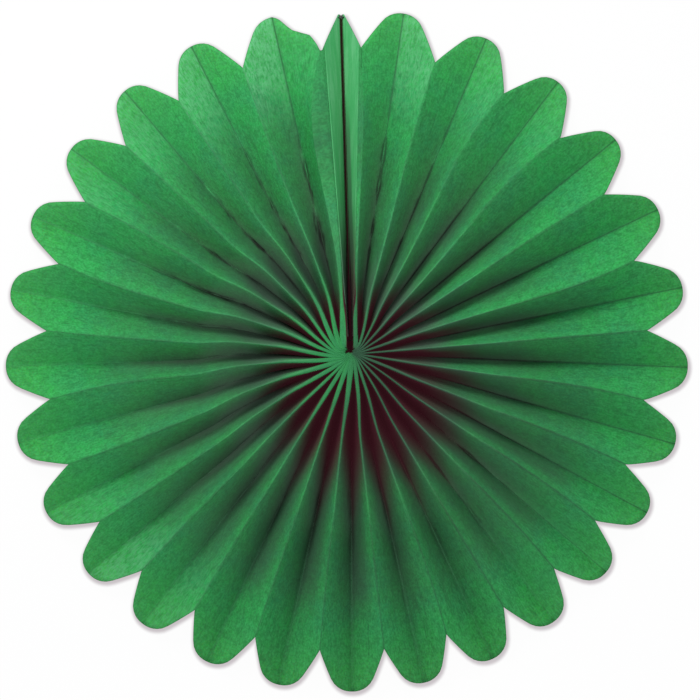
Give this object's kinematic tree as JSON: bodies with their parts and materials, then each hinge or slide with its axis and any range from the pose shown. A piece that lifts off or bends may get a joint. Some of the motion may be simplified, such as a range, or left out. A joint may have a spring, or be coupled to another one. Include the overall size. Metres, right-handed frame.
{
  "type": "paper fan medallion",
  "caption": "Round pleated tissue rosette with rounded petals, gathered at a tied hub and closed along a carded seam; a hanging or table decoration.",
  "frame": {"origin": "middle of the gathered hub, on the plane that the rear folds lie in", "axes": "+Z out of the front of the rosette, +Y from the hub along the seam; the rosette lies on its back"},
  "size_m": [0.6342, 0.6305, 0.0454],
  "materials": {
    "tissue": "matt green tissue with fine fibres and soft wrinkles",
    "card": "matt green paper face over a dark board core",
    "thread": "dark twisted thread",
    "tie": "thin dark lacquered wire"
  },
  "bodies": {
    "root": {"pleated_tissue": "tissue", "end_card_left": "card", "end_card_right": "card", "hub_thread": "thread", "seam_tie": "tie"}
  },
  "joints": []
}
